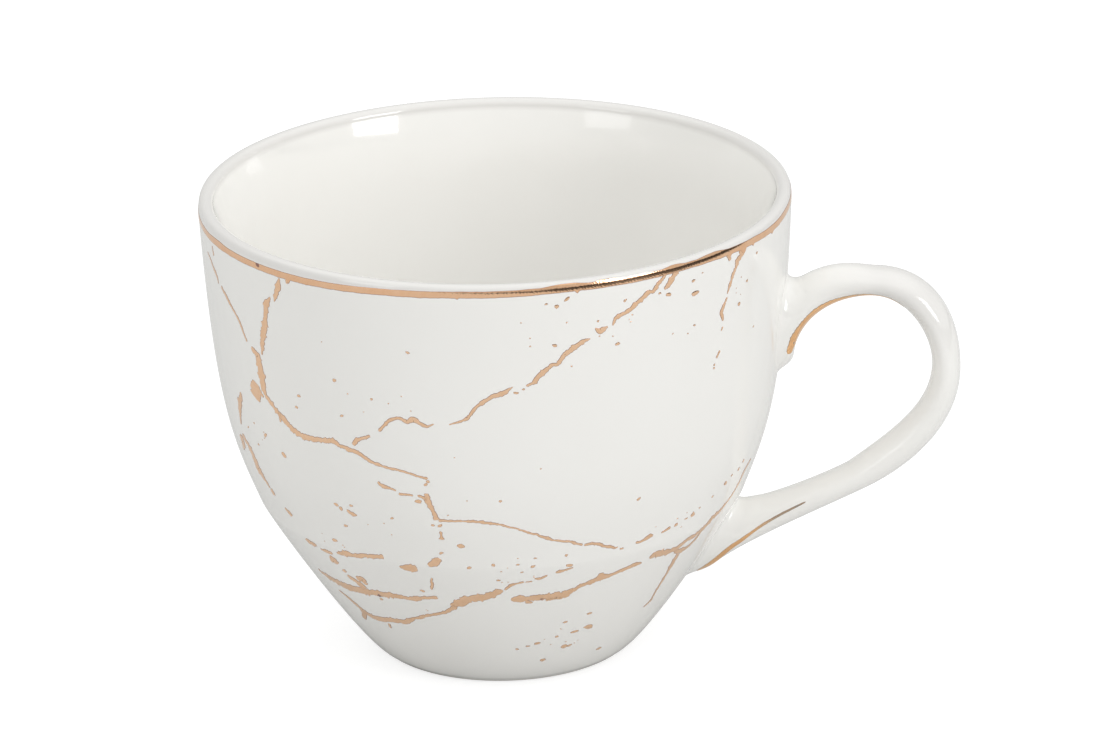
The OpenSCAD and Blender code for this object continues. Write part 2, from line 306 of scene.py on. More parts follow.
def gold(name, light, deep, rim, grain, rough_low, rough_high):
    """Fired gold: fine printed grain, a darker burnt line along its edges and a few dark spots."""
    mat, nodes, links, shader = new_material(name)
    coords = nodes.new("ShaderNodeTexCoord").outputs["Object"]
    body = ramp(nodes, links, noise_node(nodes, links, coords, 420, 9, 0.8), [(0.34, deep), (0.62, light)])
    spots = ramp(nodes, links, noise_node(nodes, links, coords, 620, 1),
                 [(0.74, (0, 0, 0)), (0.78, (1, 1, 1))])
    body = mixed(nodes, links, spots, body, rim)
    edge = nodes.new("ShaderNodeAttribute")
    edge.attribute_name = "edge"
    colour = mixed(nodes, links, edge.outputs["Fac"], body, rim)
    hatch = nodes.new("ShaderNodeTexWave")
    hatch.bands_direction = "DIAGONAL"
    hatch.inputs["Scale"].default_value = 900
    hatch.inputs["Distortion"].default_value = 9
    hatch.inputs["Detail"].default_value = 2
    links.new(coords, hatch.inputs["Vector"])
    fine = noise_node(nodes, links, coords, 5200, 3, 0.65)
    rough = scaled(nodes, links, noise_node(nodes, links, coords, 1500, 3), rough_low, rough_high)
    print_grain = bump(nodes, links, hatch.outputs["Fac"], grain)
    links.new(colour, shader.inputs["Base Color"])
    links.new(rough, shader.inputs["Roughness"])
    links.new(bump(nodes, links, fine, grain, print_grain), shader.inputs["Normal"])
    shader.inputs["Metallic"].default_value = 1.0
    return mat


PORCELAIN = porcelain("porcelain", bowl=True)
PORCELAIN_HANDLE = porcelain("porcelain_handle", arch=True)
SLIP = porcelain("porcelain_slip")
BAND_GOLD = gold("band_gold", (0.97, 0.63, 0.41), (0.92, 0.55, 0.33), (0.36, 0.20, 0.17),
                 0.000003, 0.08, 0.15)
VEIN_GOLD = gold("vein_gold", (1.0, 0.68, 0.46), (0.93, 0.60, 0.38), (0.42, 0.27, 0.23),
                 0.000004, 0.14, 0.24)
LINE_GOLD = gold("line_gold", (0.98, 0.60, 0.32), (0.88, 0.50, 0.25), (0.44, 0.38, 0.32),
                 0.000003, 0.08, 0.15)


# ---- bowl ----
AROUND = 288


def make_bowl():
    outline = np.concatenate([FOOT, WALL[1:], LIP_OUT, LIP_IN[1:], INSIDE[1:]])
    turn = np.radians(np.arange(AROUND) * 360 / AROUND)
    rings = np.stack([np.outer(outline[:, 0], np.cos(turn)), np.outer(outline[:, 0], np.sin(turn)),
                      np.repeat(outline[:, 1:], AROUND, 1)], -1)
    n = len(outline)
    verts = list(rings.reshape(-1, 3)) + [(0, 0, outline[0][1]), (0, 0, outline[-1][1])]
    faces = tube_faces(n, AROUND)
    below, above = n * AROUND, n * AROUND + 1
    last = (n - 1) * AROUND
    for j in range(AROUND):
        k = (j + 1) % AROUND
        faces.append((below, k, j))
        faces.append((above, last + j, last + k))
    place(mesh_object("cup_bowl", verts, faces, PORCELAIN), "bowl")


make_bowl()


# ---- handle ----
# The loop's outer edge and finger side, as reach and height. A least squares fit to the handle's edges in
# the photograph moved these control points, which were then rounded.
OUTER = [[(44.6, 57.6), (50.2, 61.7), (54.7, 60), (56.6, 60)],
         [(56.6, 60), (64.4, 60), (69.1, 53.9), (69.1, 44.6)],
         [(69.1, 44.6), (69.1, 35.3), (61.3, 28.7), (55.4, 25.6)],
         [(55.4, 25.6), (46.5, 20.9), (31.4, 14.1), (29.6, 10)]]
FINGER = [[(44.2, 45.1), (44.4, 52.5), (51, 56), (56.1, 56)],
          [(56.1, 56), (61.4, 56), (64.9, 49.7), (64.9, 45.5)],
          [(64.9, 45.5), (64.9, 38.8), (59.4, 34.4), (52.3, 28.9)],
          [(52.3, 28.9), (51.2, 28), (41.9, 23.5), (37, 22.7)]]
ARM_STEPS = 30
OUTER_PTS = chain(OUTER, ARM_STEPS)
FINGER_PTS = chain(FINGER, ARM_STEPS)
ARM_LAST = len(OUTER_PTS) - 1
# Sections are numbered as in the CAD, from 0 at the upper root to 40 at the lower one.
CAD_LAST = 40.0
ARM_HALF_W = 3.75
ROOT_SPREAD = 1.2
ARM_SIDES = 72
SIDE_ANGLES = np.arange(ARM_SIDES) * 360 / ARM_SIDES
# How far inside the wall the handle's hidden ends are, and how far they draw in.
SINK = 0.8
FOLD = 0.6


def arm(i, angle):
    """Points on the arm's skin at sections i and angles round it: 0 is the outer edge, 90 the near side."""
    i, angle = np.broadcast_arrays(np.asarray(i, float), np.radians(np.asarray(angle, float)))
    k = i / CAD_LAST * ARM_LAST
    marks = np.arange(ARM_LAST + 1)
    o = np.stack([np.interp(k, marks, OUTER_PTS[:, c]) for c in (0, 1)], -1)
    f = np.stack([np.interp(k, marks, FINGER_PTS[:, c]) for c in (0, 1)], -1)
    width = ARM_HALF_W + ROOT_SPREAD * (np.exp(-i / 2.5) + np.exp(-(CAD_LAST - i) / 3))
    out = (o + f) / 2 + (o - f) / 2 * np.cos(angle)[..., None]
    return np.stack([out[..., 0], -width * np.sin(angle), out[..., 1]], -1)


def behind(p, inward=0.0):
    """The point of the wall straight behind p along X, or that far inside it."""
    return np.stack([np.sqrt((wall_r(p[..., 2]) - inward) ** 2 - p[..., 1] ** 2), p[..., 1], p[..., 2]], -1)


def unit(v):
    """Vectors of the same directions, one long."""
    return v / np.linalg.norm(v, axis=-1)[..., None]


def by_side(values, angle):
    """Values for the outer edge, the sides and the finger side, blended round the arm."""
    outer, side, finger = values
    c = np.cos(np.radians(angle))
    return side + np.where(c > 0, outer - side, finger - side) * c ** 2


class Root:
    """A root of the arm and the hollow fillet of slip round it, from the arm's skin down to the wall's.

    start is how many sections up the arm the fillet begins, spread how far it spreads over the wall beyond
    the root, and pull how strongly it follows the arm and the wall, each for the outer edge, the sides and
    the finger side.
    """

    def __init__(self, section, start, spread, pull_arm, pull_wall):
        self.section, self.toward = section, 1 if section == 0 else -1
        self.start, self.spread, self.pull = start, spread, (pull_arm, pull_wall)
        self.outline = behind(arm(section, SIDE_ANGLES))
        self.centre = self.outline.mean(0)

    def first(self, angle):
        """The section where the fillet begins at an angle."""
        return self.section + self.toward * by_side(self.start, angle)

    def skin(self, angle, t):
        """Points on the fillet at angles round the arm, from t 0 on the arm to t 1 on the wall."""
        i = self.first(angle)
        start = arm(i, angle)
        down_arm = unit(arm(i - 0.05 * self.toward, angle) - start)
        root = behind(arm(np.full_like(i, self.section), angle))
        away = unit(root - self.centre)
        foot = root + away * by_side(self.spread, angle)[..., None]
        end = behind(foot, BURIED_SLIP)
        up_wall = unit(behind(foot - away * 0.3, BURIED_SLIP) - end)
        span = np.linalg.norm(end - start, axis=-1)
        p1 = start + down_arm * (span * by_side(self.pull[0], angle))[..., None]
        p2 = end + up_wall * (span * by_side(self.pull[1], angle))[..., None]
        t = np.asarray(t)[..., None]
        return (1 - t) ** 3 * start + 3 * (1 - t) ** 2 * t * p1 + 3 * (1 - t) * t * t * p2 + t ** 3 * end

    def hidden(self):
        """A ring inside the wall, where the arm and the slip both end."""
        return behind(self.outline + unit(self.centre - self.outline) * FOLD, SINK)


# The edge of the slip lies this far inside the wall.
BURIED_SLIP = 0.05
UPPER_ROOT = Root(0, (0.6, 2.0, 0.5), (1.2, 2.0, 2.2), (0.42, 0.42, 0.42), (0.42, 0.42, 0.3))
LOWER_ROOT = Root(40, (1.6, 2.4, 1.4), (0.0, 1.8, 1.0), (0.32, 0.42, 0.42), (0.22, 0.42, 0.42))
FILLET_STEPS = 16


def make_handle():
    """The arm's skin from fillet to fillet, folded in at both ends and run into the wall under the slip."""
    first, last = UPPER_ROOT.first(SIDE_ANGLES), LOWER_ROOT.first(SIDE_ANGLES)
    rings = [arm(first + (last - first) * t, SIDE_ANGLES) for t in np.linspace(0, 1, ARM_LAST + 1)]

    def folded(ring):
        return ring + unit(ring.mean(0) - ring) * FOLD

    rings = [UPPER_ROOT.hidden(), folded(rings[0])] + rings + [folded(rings[-1]), LOWER_ROOT.hidden()]
    verts = list(np.concatenate(rings))
    verts += [rings[0].mean(0), rings[-1].mean(0)]
    n = len(rings)
    faces = tube_faces(n, ARM_SIDES)
    near, far = n * ARM_SIDES, n * ARM_SIDES + 1
    for j in range(ARM_SIDES):
        k = (j + 1) % ARM_SIDES
        faces.append((near, k, j))
        faces.append((far, near - ARM_SIDES + j, near - ARM_SIDES + k))
    place(mesh_object("cup_handle", verts, faces, PORCELAIN_HANDLE, sharp=40), "handle")


make_handle()


def make_slip(name, node, root):
    """The fillet round a root, closed by a hidden underside inside the arm and the wall."""
    rows = [root.skin(SIDE_ANGLES, np.full(ARM_SIDES, t)) for t in np.linspace(0, 1, FILLET_STEPS + 1)]
    rows.append(root.hidden())
    if root.toward > 0:
        rows.reverse()
    faces = tube_faces(len(rows), ARM_SIDES, closed=True)
    place(mesh_object(name, np.concatenate(rows), faces, SLIP, sharp=40), node)


make_slip("upper_slip_fillet", "upper_slip_joint", UPPER_ROOT)
make_slip("lower_slip_fillet", "lower_slip_joint", LOWER_ROOT)


# ---- gold on the wall ----
# FILM to BURIED are heights off the glaze, but BURNT is the width of the burnt edge.
FILM = 0.03
BAND_FILM = 0.036
EDGE_LIFT = 0.004
BURNT = 0.10
BURIED = -0.02
# The band's line, tilt and wander were set against differences measured on the photograph.
BAND_TOP = 1.15
BAND_H = 1.0
BAND_TILT = 0.35
BAND_TILT_AZ = -3
# Where the band wanders off its circle: azimuth, half length in degrees and height.
BAND_WANDER = [(-86, 36, 0.42), (-54, 32, 0.40), (-36, 18, 0.16), (-15, 10, -0.15)]
# Where the brush rode up over the lip's curve: azimuth, half length in degrees and height.
BAND_SWELLS = [(-69.5, 5.5, 0.30), (-61.5, 4, 0.24), (-47, 3, 0.24), (-37, 5, 0.28), (35, 6, 0.25),
               (110, 5, 0.25), (158, 7, 0.3), (-150, 5, 0.15)]
# Small drips along its lower edge: azimuth, half length in degrees and height.
BAND_DRIPS = [(-67.5, 0.5, 0.35), (-125.5, 0.5, 0.6), (-28, 1.2, 0.7), (-32.5, 0.7, 0.5), (-24.5, 0.5, 0.3),
              (-90, 0.4, 0.2), (-16, 0.8, 0.3), (52, 0.9, 0.6), (120, 0.8, 0.5), (171, 0.6, 0.4)]
BAND_AROUND = 1440


def hump(az, spots):
    """Sum of smooth humps, each with its azimuth, half length and height."""
    total = np.zeros_like(az)
    for centre, half, height in spots:
        t = np.clip(np.abs((az - centre + 180) % 360 - 180) / half, 0, 1)
        total += height * (1 - t * t) ** 2
    return total


def make_band():
    """The band under the lip, painted by hand: it tilts and wanders a little."""
    n = BAND_AROUND
    az = np.arange(n) * 360 / n
    a = np.radians(az)

    def wobble(turns, row):
        return np.array([noise.noise(Vector((math.cos(t) * turns, math.sin(t) * turns, row))) for t in a])

    tilt = BAND_TILT * np.cos(a - math.radians(BAND_TILT_AZ))
    middle = s_at(CUP_H - BAND_TOP) + tilt + hump(az, BAND_WANDER) + 0.05 * wobble(6, 1.7)
    top = middle + 0.04 * wobble(30, 4.2) + hump(az, BAND_SWELLS)
    foot = middle - BAND_H + 0.06 * wobble(30, 8.9) + 0.04 * wobble(90, 2.2) - hump(az, BAND_DRIPS)
    across = [(0, EDGE_LIFT), (BURNT * 0.5, BAND_FILM), (BURNT, BAND_FILM), (0.35, BAND_FILM),
              (0.55, BAND_FILM), (0.75, BAND_FILM)]
    rows = []
    for d, lift in across:
        rows.append((foot + (d if d < 0.3 else d * (top - foot)), lift, 1.0 if d < BURNT else 0.0))
    for d, lift in reversed(across[:3]):
        rows.append((top - d * 0.6, lift, 0.8 if d < BURNT else 0.0))
    rows.append((top, BURIED, 1.0))
    rows.append((foot, BURIED, 1.0))
    rings = np.stack([on_skin(az, s, lift) for s, lift, _ in rows], 1)
    edge = [e for _ in range(n) for _, _, e in rows]
    place(mesh_object("gold_rim_band", rings.reshape(-1, 3), tube_faces(n, len(rows), closed=True),
                      BAND_GOLD, edge, sharp=60), "rim_gold_band")


make_band()

# ---- lines and grains of gold ----
STEP = 0.14


def spline(p, k, t, slack):
    """Points at t, 0 to 1, between rows k and k + 1 of p, on a smooth curve through them all."""
    m0, m1 = slack * (p[k + 1] - p[k - 1]), slack * (p[k + 2] - p[k])
    return ((2 * t ** 3 - 3 * t ** 2 + 1) * p[k] + (t ** 3 - 2 * t ** 2 + t) * m0
            + (3 * t ** 2 - 2 * t ** 3) * p[k + 1] + (t ** 3 - t ** 2) * m1)


def with_ends(p):
    """The rows of p and one more past each end, for a spline."""
    return np.concatenate([[2 * p[0] - p[1]], p, [2 * p[-1] - p[-2]]])


def smooth_line(points):
    """Points about STEP apart on a smooth line through (azimuth, height, width) points.

    It gives azimuths, distances up the skin and widths.
    """
    p = with_ends(np.array([(az, s_at(z), width) for az, z, width in points], float))
    out = []
    for k in range(1, len(p) - 2):
        r = skin_r((p[k, 1] + p[k + 1, 1]) / 2) * math.pi / 180
        count = max(2, int(math.hypot((p[k + 1, 0] - p[k, 0]) * r, p[k + 1, 1] - p[k, 1]) / STEP))
        out.append(spline(p, k, (np.arange(count) / count)[:, None], 0.22))
    out.append(p[-2:-1])
    return np.concatenate(out).T


def ribbon(line, half_left, half_right, sheet):
    """A closed ribbon of gold on a sheet, which is a function of (u, v, lift) that gives points.

    line holds (u, v, u_mm, v_mm): where each point is and how long a unit of u and v is there.
    """
    u, v, u_mm, v_mm = line
    du, dv = np.gradient(u) * u_mm, np.gradient(v) * v_mm
    size = np.hypot(du, dv)
    side_u, side_v = -dv / size / u_mm, du / size / v_mm
    rows = []
    for half, sign in ((half_right, -1), (half_left, 1)):
        burnt = np.minimum(BURNT, 0.4 * half)
        steps = [(half, EDGE_LIFT, 1.0), (half - burnt * 0.5, FILM, 1.0), (half - burnt, FILM, 0.0)]
        if sign > 0:
            steps.reverse()
        rows += [(sign * w, lift, e) for w, lift, e in steps]
        if sign < 0:
            rows.append((0 * half, FILM, 0.0))
    rows += [(half_left, BURIED, 1.0), (-half_right, BURIED, 1.0)]
    rings = np.stack([sheet(u + side_u * w, v + side_v * w, lift) for w, lift, _ in rows], 1)
    return rings, [e for _, _, e in rows]


class Pieces:
    """Collects closed pieces into one mesh."""

    def __init__(self):
        self.verts, self.faces, self.edge = [], [], []

    def tube(self, rings, edge):
        n, sides = rings.shape[:2]
        start = len(self.verts)
        self.verts += list(rings.reshape(-1, 3))
        self.edge += list(np.broadcast_to(edge, (n, sides)).ravel())
        self.faces += tube_faces(n, sides, start)
        self.faces.append(tuple(start + j for j in reversed(range(sides))))
        self.faces.append(tuple(start + (n - 1) * sides + j for j in range(sides)))

    def grain(self, outline, crown, top, below):
        """A thin domed grain: its outline on the skin, crown, top point and buried underside."""
        n = len(outline)
        start = len(self.verts)
        self.verts += list(outline) + list(crown) + [top] + list(below)
        self.edge += [1.0] * n + [0.0] * n + [0.0] + [1.0] * n
        for j in range(n):
            k = (j + 1) % n
            self.faces.append((start + j, start + k, start + n + k, start + n + j))
            self.faces.append((start + n + j, start + n + k, start + 2 * n))
            self.faces.append((start + 2 * n + 1 + j, start + 2 * n + 1 + k, start + k, start + j))
        self.faces.append(tuple(start + 2 * n + 1 + j for j in reversed(range(n))))

    def make(self, name, material):
        return mesh_object(name, self.verts, self.faces, material, self.edge, sharp=60)


def ragged(length, seed, base):
    """Half widths that waver along a line, with broad swells and a fine tear."""
    broad = np.array([noise.noise(Vector((d / 1.1, seed, 0.3))) for d in length])
    fine = np.array([noise.noise(Vector((d / 0.3, seed, 5.1))) for d in length])
    nicks = np.array([noise.noise(Vector((d / 0.55, seed, 7.7))) for d in length])
    tear = np.where(nicks > 0.32, 0.5, 0.0) - np.where(nicks < -0.36, 0.35, 0.0)
    return base * np.clip(1 + 0.24 * broad + 0.24 * fine + 0.7 * tear, 0.4, 1.6)


# Every vein is drawn at this share of its listed width, a correction.
WORN = 0.88
THINNEST = 0.2
BLUNT_END = 0.22
SHAKE = 0.10
SPECK_SIDES = 14


def add_vein(pieces, points, seed, turn=0.0):
    """A vein with wavering edges and blunt ends, along (azimuth, height, width) points."""
    u, v, width = smooth_line(points)
    u_mm = skin_r(v) * math.pi / 180
    along = lengths(np.stack([u * u_mm, v], 1))
    from_end = np.clip(np.minimum(along, along[-1] - along) / BLUNT_END, 0, 1)
    taper = 0.6 + 0.4 * np.sqrt(from_end * (2 - from_end))
    half = np.maximum(WORN * width, THINNEST) / 2
    # The line itself shakes a little from side to side.
    shake = SHAKE * np.array([noise.noise(Vector((d / 0.9, seed, 9.4))) for d in along])
    line = (u + turn + shake / u_mm, v + shake, u_mm, np.ones_like(v))
    left, right = (ragged(along, seed + k, half) * taper for k in (0, 0.5))
    pieces.tube(*ribbon(line, left, right, on_skin))


def add_speck(pieces, diameter, az, z, rand, turn=0.0):
    """An irregular grain of gold on the wall."""
    s = s_at(z)
    n = SPECK_SIDES
    a = np.arange(n) * 2 * math.pi / n
    lean, stretch = rand.uniform(-0.4, 0.7), rand.uniform(1.0, 1.9)
    radius = diameter / 2 * np.array([rand.uniform(0.7, 1.25) for _ in range(n)])
    radius = (radius + np.roll(radius, 1)) / 2
    x, y = radius * np.cos(a) * stretch ** 0.5, radius * np.sin(a) / stretch ** 0.5
    x, y = x * math.cos(lean) - y * math.sin(lean), x * math.sin(lean) + y * math.cos(lean)
    per_mm = 180 / math.pi / skin_r(s)

    def ring(scale, lift):
        return on_skin(az + turn + x * scale * per_mm, s + y * scale, lift)

    burnt = min(0.08 / (diameter / 2), 0.35)
    pieces.grain(ring(1, EDGE_LIFT), ring(1 - burnt, FILM), on_skin(az + turn, s, FILM), ring(1, BURIED))


# Veins of one transfer: each is a line of (azimuth, height, width). The numbers here and in SPECKS come from
# points on the photograph, which a program turned into places on the cup, then thinned and rounded.
# SPRAYS stands for clusters in the same program's list.
LEFT = [
    [(-153.5, 68.5, 0.4), (-153, 67, 0.5)],
    [(-157.5, 66.5, 0.3), (-155, 65.5, 0.6), (-152, 64, 0.7), (-151.5, 63, 0.3)],
    [(-150, 63, 0.4), (-148, 62, 0.7), (-144, 60, 0.6), (-142.5, 59, 0.6), (-140.5, 56.5, 0.4)],
    [(-126, 69.5, 0.6), (-126, 68.5, 0.6)],
    [(-128, 69, 0.3), (-128.5, 67.5, 1.4), (-129.5, 66, 0.9), (-130, 65, 0.3)],
    [(-131, 65.5, 0.3), (-132.5, 64, 1.3), (-133, 62, 1.0), (-133.5, 60.5, 1.6), (-134.5, 58.5, 1.4),
     (-135.5, 55.5, 0.4)],
    [(-139, 56, 0.6), (-137, 55, 1.4), (-136.5, 52.5, 1.8), (-136.5, 51, 1.6), (-136, 49, 0.9)],
    [(-138.5, 50.2, 2.4), (-139, 49.4, 3.2), (-139.8, 48.4, 3.3), (-140.2, 47.8, 3.0)],
    [(-146.5, 47, 0.5), (-147, 46, 1.2), (-148, 45, 1.4), (-149, 43, 1.1), (-150, 41, 0.4)],
    [(-153, 38.5, 1.3), (-152, 37.5, 2.0), (-153.5, 36, 0.7)],
    [(-151, 39, 0.9), (-148.5, 38, 1.3), (-147, 36.5, 1.6), (-146.5, 34.5, 2.0), (-145, 33.5, 1.4),
     (-143.5, 32, 0.7)],
    [(-143, 32, 0.9), (-142.5, 31, 1.3)],
    [(-139.5, 29.5, 0.7), (-137.5, 28.5, 0.9)]]
FRONT = [
    [(-136, 49, 0.9), (-134, 48, 0.9), (-132.5, 47, 1.1), (-129.5, 45.5, 1.2), (-126.5, 44.5, 1.1),
     (-122, 44.5, 1.1), (-118, 45, 1.0), (-116.5, 44.5, 0.8), (-112.5, 44, 0.8), (-108.5, 42.5, 0.6),
     (-104, 42, 0.5), (-97.5, 41, 0.4)],
    [(-132, 47, 1.0), (-132, 45.5, 0.4)],
    [(-113, 45, 0.6), (-112, 46, 0.7), (-109, 47, 0.5)],
    [(-107, 48, 0.4), (-104.5, 50, 0.6), (-102.5, 50.5, 0.6), (-101, 50, 0.7), (-99.5, 50.5, 1.1),
     (-97, 49.5, 0.5), (-95.5, 50, 0.2)],
    [(-92.5, 50, 0.2), (-89, 51, 0.6), (-87, 53, 0.6), (-84, 54.5, 0.8), (-82, 55, 0.9), (-80, 56, 0.2)],
    [(-77.5, 56, 0.3), (-76, 56.5, 0.8), (-75, 57.5, 1.0), (-72.5, 59, 0.7), (-71.5, 59, 0.6),
     (-70, 60.5, 0.9), (-67, 62, 0.9), (-65, 62.5, 0.2)],
    [(-108.5, 39.5, 0.6), (-107.5, 39, 0.9), (-104.5, 38.5, 0.3)],
    [(-104, 38, 0.5), (-101, 38, 0.4)],
    [(-100, 38, 0.4), (-98, 37.5, 0.9)],
    [(-98, 38.5, 0.7), (-98, 37.5, 1.1), (-97, 35.5, 0.7), (-96.5, 34, 1.2)],
    [(-96, 34, 0.7), (-93, 34, 0.4), (-88, 34, 0.6), (-83.5, 33.5, 0.5), (-79.5, 32.5, 0.3),
     (-76, 31.5, 0.5), (-73, 30.5, 0.6), (-71.5, 30, 0.4), (-68, 29.5, 0.6), (-65, 28.5, 0.4)],
    [(-64.5, 28.5, 0.5), (-62, 28.5, 0.7), (-59, 27.5, 0.5), (-57, 27, 0.6), (-56, 27, 0.3)],
    [(-55.5, 26.5, 0.3), (-54.5, 26.5, 0.4)],
    [(-96, 32, 0.4), (-96, 30.5, 0.7)],
    [(-97, 27, 0.9), (-98.5, 26, 1.6), (-100, 25.5, 0.9)],
    [(-100, 23, 0.3), (-100.5, 21.5, 0.7), (-101, 20.5, 0.3)]]
LOWER = [
    [(-117.5, 33.5, 0.5), (-116, 33, 0.9), (-115, 33, 0.3)],
    [(-135.5, 25, 0.9), (-134, 24.5, 1.2), (-132, 24.5, 0.9)],
    [(-131, 24, 0.7), (-129, 24, 1.0), (-127, 24, 0.7)],
    [(-129, 23, 1.5), (-128, 22.5, 1.9), (-127, 22, 1.0)],
    [(-126.5, 21, 0.8), (-126, 20.5, 1.0)],
    [(-126, 20, 1.0), (-123.5, 19, 1.3), (-122, 18, 1.9)],
    [(-123, 20, 1.0), (-121, 20, 1.6), (-120.5, 19, 0.7)],
    [(-125, 24.5, 0.5), (-121.5, 25, 1.3), (-119, 25, 0.9), (-116, 25.5, 1.1), (-111, 26, 1.0)],
    [(-107.5, 24.5, 0.5), (-106, 24.5, 1.3), (-104.5, 24.5, 1.9), (-103, 24.5, 1.2)],
    [(-141, 18, 0.7), (-138.5, 17.5, 1.3), (-130, 17, 1.8), (-121, 17.5, 1.7), (-112, 18, 1.3),
     (-107.5, 18, 1.2), (-104, 18.5, 0.8), (-100, 19, 0.8)],
    [(-136.5, 15, 0.5), (-133.5, 14, 0.9), (-129.5, 12, 1.3), (-127, 11.5, 1.3), (-124, 11.5, 1.5),
     (-119.5, 12, 1.2), (-113, 12.5, 1.1), (-110, 13.5, 0.8), (-105.5, 14.5, 0.7), (-98.5, 16, 0.9),
     (-95.5, 17.5, 1.0)],
    [(-130, 12, 1.5), (-133, 10, 0.7)],
    [(-121, 11, 0.6), (-121.5, 10, 0.5)],
    [(-97, 17.5, 0.8), (-94.5, 18, 1.9), (-91.5, 19, 1.8), (-88, 19.5, 1.7), (-84.5, 20.5, 1.5),
     (-83, 21, 0.8)],
    [(-82.5, 21, 0.5), (-81, 22, 0.7), (-78, 22.5, 0.5)],
    [(-77.5, 22.5, 0.4), (-76, 22.5, 0.5)],
    [(-75.5, 23, 0.4), (-74, 23, 0.6), (-72.5, 23.5, 0.4)],
    [(-70.5, 24, 0.5), (-69.5, 24, 0.8), (-66.5, 24.5, 0.3)],
    [(-81, 19, 0.9), (-79, 19, 1.8), (-76, 19, 1.5), (-70, 19, 1.7), (-67.5, 19, 1.6), (-63, 20.5, 0.9),
     (-60.5, 21, 1.4), (-58.5, 21.5, 1.8), (-56, 21.5, 1.1), (-53, 22, 0.9), (-50, 22.5, 1.2),
     (-47.5, 22.5, 0.5)],
    [(-77, 18.5, 0.9), (-75.5, 18, 0.5)],
    [(-72, 18.5, 0.8), (-67.5, 18.5, 0.7)]]
RIM = [
    [(-64, 64, 0.3), (-63, 63.5, 1.0), (-61.5, 64, 0.3)],
    [(-60.5, 64, 0.3), (-60, 65, 0.7), (-57, 66, 0.9), (-55, 67, 0.8), (-53, 68, 0.8), (-52, 68, 0.8),
     (-51, 69, 0.7), (-48.7, 70.4, 0.4)],
    [(-49.5, 68, 0.5), (-48.5, 68.5, 1.0), (-47, 70, 1.2), (-46.5, 70.5, 1.2)],
    [(-27.8, 70.4, 2.1), (-29, 69, 1.5), (-30, 68.5, 1.1), (-30.5, 67.5, 0.7), (-31.5, 66.5, 0.8),
     (-32, 65.5, 0.8), (-33, 64, 0.3)],
    [(-33, 70.5, 1.3), (-32.5, 69, 0.5)],
    [(-33, 63.5, 0.4), (-34.5, 61.5, 0.9), (-34, 60, 0.5)],
    [(-34, 59, 0.6), (-34.5, 58.5, 0.3)],
    [(-34.5, 55.5, 0.4), (-35.5, 54.5, 0.6)]]
RIGHT = [
    [(-45.5, 23, 0.7), (-44, 23.5, 1.8), (-40, 23, 1.3), (-36.5, 23, 1.4), (-33.5, 24, 1.2), (-31, 24, 1.1),
     (-27.5, 25, 1.1), (-25.5, 26, 1.1), (-23, 26.3, 0.9), (-20, 27.2, 0.7), (-18, 28, 0.7),
     (-16, 29.5, 0.8), (-15.3, 31, 0.9), (-14, 31.8, 0.9), (-12.5, 32.5, 0.7)],
    [(-37, 22.5, 0.7), (-34.5, 22, 1.2), (-31.5, 22, 1.0), (-29.5, 23, 0.8), (-28.5, 24.5, 0.6)],
    [(-34.5, 21.5, 1.0), (-34.5, 20.5, 1.3), (-34.5, 18, 0.8), (-34.5, 14, 0.6), (-34, 12.5, 0.7),
     (-36, 11.5, 0.4)],
    [(-51.5, 27, 0.4), (-50, 27, 0.6), (-48, 27.5, 1.0), (-47, 27.5, 0.4)],
    [(-44.5, 27.5, 0.4), (-42, 28, 0.6)],
    [(-41, 28, 0.7), (-40, 28, 0.7)],
    [(-38, 28.5, 0.3), (-37, 28.5, 0.4)],
    [(-36, 28.5, 0.8), (-35, 29, 0.9)],
    [(-25.5, 31.5, 0.9), (-25, 32, 0.9)],
    [(-20, 32.5, 0.7), (-20, 33, 0.9)],
    [(-18.5, 33.5, 0.6), (-18.5, 34, 0.8)]]
